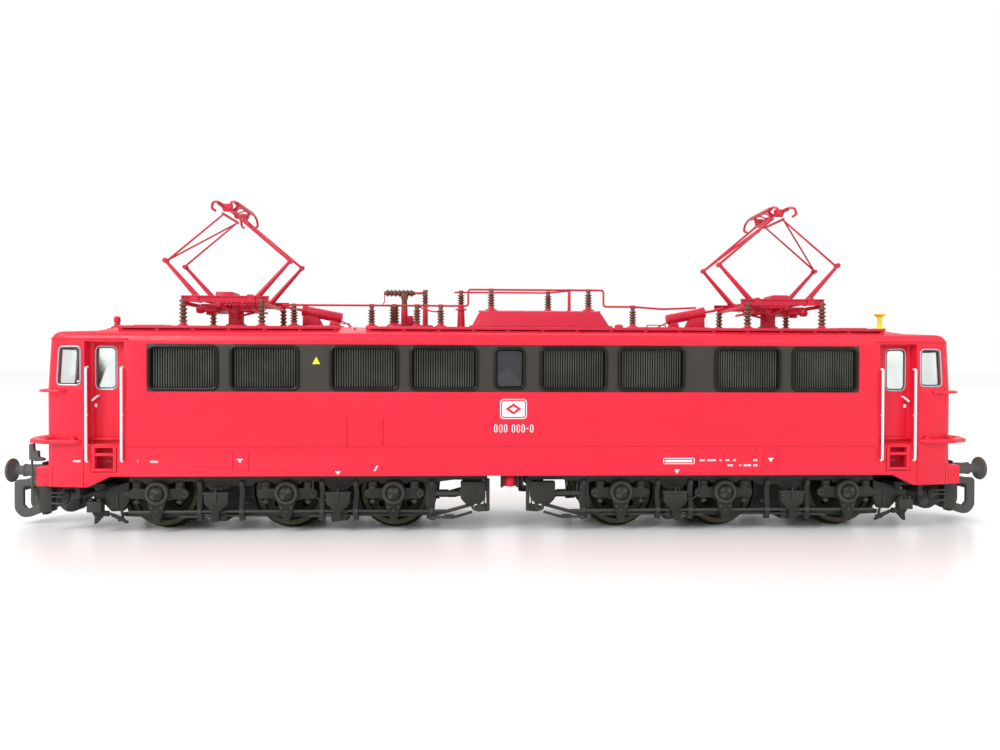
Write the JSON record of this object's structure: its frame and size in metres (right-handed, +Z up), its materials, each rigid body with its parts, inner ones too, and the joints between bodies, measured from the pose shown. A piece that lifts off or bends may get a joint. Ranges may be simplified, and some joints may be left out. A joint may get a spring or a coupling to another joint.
{
  "type": "model electric locomotive",
  "caption": "Scale model of a heavy electric locomotive with bogies, buffers, loop couplings, louvred side band and folding diamond pantographs.",
  "frame": {"origin": "under the middle of the locomotive, on the surface its wheel flanges stand on", "axes": "+X along the locomotive to the end with the yellow horn, -Y towards its near side, +Z up"},
  "size_m": [0.1596, 0.0266, 0.0522],
  "materials": {
    "body_red": "satin moulded",
    "roof_red": "satin moulded",
    "band_grey": "printed matt",
    "black_plastic": "matt moulded",
    "frame_grey": "matt moulded, dusty",
    "wheel_steel": "darkened, bright tread",
    "bright_steel": "turned",
    "brass": "turned",
    "zinc": "die-cast, unpainted",
    "board_green": "solder resist",
    "clear": "clear moulded",
    "yellow": "glossy"
  },
  "bodies": {
    "locomotive_body": {"body_shell": "body_red", "chassis_frame": "zinc", "louvre_panel_near": "band_grey", "louvre_panel_far": "band_grey", "cab_glazing_right": "clear", "cab_glazing_left": "clear", "circuit_board": "board_green", "motor": "bright_steel", "buffer_near_right": "black_plastic", "buffer_near_left": "black_plastic", "buffer_far_right": "black_plastic", "buffer_far_left": "black_plastic", "roof_hood": "roof_red", "roof_busbar": "roof_red", "circuit_breaker": "roof_red", "lowering_cylinder_right": "body_red", "lowering_cylinder_left": "body_red", "horn_left": "body_red", "horn_right": "yellow", "pantograph_base_right": "roof_red", "pantograph_base_left": "roof_red"},
    "motor_rotor": {"motor_shaft": "brass"},
    "cardan_right": {"cardan_shaft_right": "black_plastic"},
    "worm_shaft_right": {"worm_right": "brass"},
    "bogie_right": {"bogie_frame_right": "frame_grey", "gearbox_right": "black_plastic"},
    "loop_coupling_right": {"coupling_right": "black_plastic"},
    "wheelset_1_right": {"axle_1_right": "bright_steel", "wheel_1_near_right": "wheel_steel", "wheel_1_far_right": "wheel_steel"},
    "wheelset_2_right": {"axle_2_right": "bright_steel", "wheel_2_near_right": "wheel_steel", "wheel_2_far_right": "wheel_steel"},
    "wheelset_3_right": {"axle_3_right": "bright_steel", "wheel_3_near_right": "wheel_steel", "wheel_3_far_right": "wheel_steel"},
    "pantograph_outer_lower_right": {"pantograph_lower_outer_right": "roof_red"},
    "pantograph_outer_upper_right": {"pantograph_upper_outer_right": "roof_red"},
    "pantograph_inner_lower_right": {"pantograph_lower_inner_right": "roof_red"},
    "pantograph_inner_upper_right": {"pantograph_upper_inner_right": "roof_red"},
    "collector_right": {"collector_head_right": "roof_red"},
    "cardan_left": {"cardan_shaft_left": "black_plastic"},
    "worm_shaft_left": {"worm_left": "brass"},
    "bogie_left": {"bogie_frame_left": "frame_grey", "gearbox_left": "black_plastic"},
    "loop_coupling_left": {"coupling_left": "black_plastic"},
    "wheelset_1_left": {"axle_1_left": "bright_steel", "wheel_1_near_left": "wheel_steel", "wheel_1_far_left": "wheel_steel"},
    "wheelset_2_left": {"axle_2_left": "bright_steel", "wheel_2_near_left": "wheel_steel", "wheel_2_far_left": "wheel_steel"},
    "wheelset_3_left": {"axle_3_left": "bright_steel", "wheel_3_near_left": "wheel_steel", "wheel_3_far_left": "wheel_steel"},
    "pantograph_outer_lower_left": {"pantograph_lower_outer_left": "roof_red"},
    "pantograph_outer_upper_left": {"pantograph_upper_outer_left": "roof_red"},
    "pantograph_inner_lower_left": {"pantograph_lower_inner_left": "roof_red"},
    "pantograph_inner_upper_left": {"pantograph_upper_inner_left": "roof_red"},
    "collector_left": {"collector_head_left": "roof_red"}
  },
  "joints": [
    {"name": "motor_spin", "type": "hinge", "parent": "locomotive_body", "child": "motor_rotor", "pos_m": [0, 0, 0.0198], "axis": [1, 0, 0], "continuous": true},
    {"name": "bogie_swivel_right", "type": "hinge", "parent": "locomotive_body", "child": "bogie_right", "pos_m": [0.0359, 0, 0.0138], "axis": [0, 0, 1], "range_deg": [-7, 7]},
    {"name": "cardan_spin_right", "type": "hinge", "parent": "locomotive_body", "child": "cardan_right", "pos_m": [0.0242, 0, 0.0198], "axis": [1, 0, 0], "continuous": true},
    {"name": "worm_spin_right", "type": "hinge", "parent": "bogie_right", "child": "worm_shaft_right", "pos_m": [0.0358, 0, 0.0198], "axis": [1, 0, 0], "continuous": true},
    {"name": "wheelset_spin_1_right", "type": "hinge", "parent": "bogie_right", "child": "wheelset_1_right", "pos_m": [0.054, 0, 0.0061], "axis": [0, 1, 0], "continuous": true},
    {"name": "wheelset_spin_2_right", "type": "hinge", "parent": "bogie_right", "child": "wheelset_2_right", "pos_m": [0.0343, 0, 0.0061], "axis": [0, 1, 0], "continuous": true},
    {"name": "wheelset_spin_3_right", "type": "hinge", "parent": "bogie_right", "child": "wheelset_3_right", "pos_m": [0.0178, 0, 0.0061], "axis": [0, 1, 0], "continuous": true},
    {"name": "coupling_swing_right", "type": "hinge", "parent": "locomotive_body", "child": "loop_coupling_right", "pos_m": [0.0665, 0, 0.00575], "axis": [0, 0, 1], "range_deg": [-10, 10]},
    {"name": "pantograph_fold_right", "type": "hinge", "parent": "locomotive_body", "child": "pantograph_outer_lower_right", "pos_m": [0.0493, 0, 0.0365], "axis": [0, 1, 0], "range_deg": [0, 40]},
    {"name": "pantograph_inner_fold_right", "type": "hinge", "parent": "locomotive_body", "child": "pantograph_inner_lower_right", "pos_m": [0.0405, 0, 0.0365], "axis": [0, 1, 0], "range_deg": [-40.1, 0]},
    {"name": "pantograph_outer_knee_right", "type": "hinge", "parent": "pantograph_outer_lower_right", "child": "pantograph_outer_upper_right", "pos_m": [0.0548, 0, 0.04272], "axis": [0, 1, 0], "range_deg": [-73.3, 0]},
    {"name": "pantograph_inner_knee_right", "type": "hinge", "parent": "pantograph_inner_lower_right", "child": "pantograph_inner_upper_right", "pos_m": [0.035, 0, 0.04272], "axis": [0, 1, 0], "range_deg": [0, 73.3]},
    {"name": "collector_level_right", "type": "hinge", "parent": "pantograph_outer_upper_right", "child": "collector_right", "pos_m": [0.0458, 0, 0.05035], "axis": [0, 1, 0], "range_deg": [0, 33.3]},
    {"name": "bogie_swivel_left", "type": "hinge", "parent": "locomotive_body", "child": "bogie_left", "pos_m": [-0.0359, 0, 0.0138], "axis": [0, 0, 1], "range_deg": [-7, 7]},
    {"name": "cardan_spin_left", "type": "hinge", "parent": "locomotive_body", "child": "cardan_left", "pos_m": [-0.0242, 0, 0.0198], "axis": [1, 0, 0], "continuous": true},
    {"name": "worm_spin_left", "type": "hinge", "parent": "bogie_left", "child": "worm_shaft_left", "pos_m": [-0.0358, 0, 0.0198], "axis": [1, 0, 0], "continuous": true},
    {"name": "wheelset_spin_1_left", "type": "hinge", "parent": "bogie_left", "child": "wheelset_1_left", "pos_m": [-0.054, 0, 0.0061], "axis": [0, 1, 0], "continuous": true},
    {"name": "wheelset_spin_2_left", "type": "hinge", "parent": "bogie_left", "child": "wheelset_2_left", "pos_m": [-0.0343, 0, 0.0061], "axis": [0, 1, 0], "continuous": true},
    {"name": "wheelset_spin_3_left", "type": "hinge", "parent": "bogie_left", "child": "wheelset_3_left", "pos_m": [-0.0178, 0, 0.0061], "axis": [0, 1, 0], "continuous": true},
    {"name": "coupling_swing_left", "type": "hinge", "parent": "locomotive_body", "child": "loop_coupling_left", "pos_m": [-0.0665, 0, 0.00575], "axis": [0, 0, 1], "range_deg": [-10, 10]},
    {"name": "pantograph_fold_left", "type": "hinge", "parent": "locomotive_body", "child": "pantograph_outer_lower_left", "pos_m": [-0.0493, 0, 0.0365], "axis": [0, -1, 0], "range_deg": [0, 40]},
    {"name": "pantograph_inner_fold_left", "type": "hinge", "parent": "locomotive_body", "child": "pantograph_inner_lower_left", "pos_m": [-0.0405, 0, 0.0365], "axis": [0, -1, 0], "range_deg": [-40.1, 0]},
    {"name": "pantograph_outer_knee_left", "type": "hinge", "parent": "pantograph_outer_lower_left", "child": "pantograph_outer_upper_left", "pos_m": [-0.0548, 0, 0.04272], "axis": [0, -1, 0], "range_deg": [-73.3, 0]},
    {"name": "pantograph_inner_knee_left", "type": "hinge", "parent": "pantograph_inner_lower_left", "child": "pantograph_inner_upper_left", "pos_m": [-0.035, 0, 0.04272], "axis": [0, -1, 0], "range_deg": [0, 73.3]},
    {"name": "collector_level_left", "type": "hinge", "parent": "pantograph_outer_upper_left", "child": "collector_left", "pos_m": [-0.0458, 0, 0.05035], "axis": [0, -1, 0], "range_deg": [0, 33.3]}
  ],
  "couplings": [
    {"joint": "cardan_spin_right", "follows": "motor_spin", "ratio": 1},
    {"joint": "worm_spin_right", "follows": "motor_spin", "ratio": 1},
    {"joint": "wheelset_spin_1_right", "follows": "motor_spin", "ratio": 0.0714},
    {"joint": "wheelset_spin_2_right", "follows": "motor_spin", "ratio": 0.0714},
    {"joint": "wheelset_spin_3_right", "follows": "motor_spin", "ratio": 0.0714},
    {"joint": "pantograph_inner_fold_right", "follows": "pantograph_fold_right", "ratio": -1},
    {"joint": "pantograph_outer_knee_right", "follows": "pantograph_fold_right", "ratio": -1.8293},
    {"joint": "pantograph_inner_knee_right", "follows": "pantograph_fold_right", "ratio": 1.8293},
    {"joint": "collector_level_right", "follows": "pantograph_fold_right", "ratio": 0.8293},
    {"joint": "cardan_spin_left", "follows": "motor_spin", "ratio": 1},
    {"joint": "worm_spin_left", "follows": "motor_spin", "ratio": 1},
    {"joint": "wheelset_spin_1_left", "follows": "motor_spin", "ratio": 0.0714},
    {"joint": "wheelset_spin_2_left", "follows": "motor_spin", "ratio": 0.0714},
    {"joint": "wheelset_spin_3_left", "follows": "motor_spin", "ratio": 0.0714},
    {"joint": "pantograph_inner_fold_left", "follows": "pantograph_fold_left", "ratio": -1},
    {"joint": "pantograph_outer_knee_left", "follows": "pantograph_fold_left", "ratio": -1.8293},
    {"joint": "pantograph_inner_knee_left", "follows": "pantograph_fold_left", "ratio": 1.8293},
    {"joint": "collector_level_left", "follows": "pantograph_fold_left", "ratio": 0.8293}
  ]
}
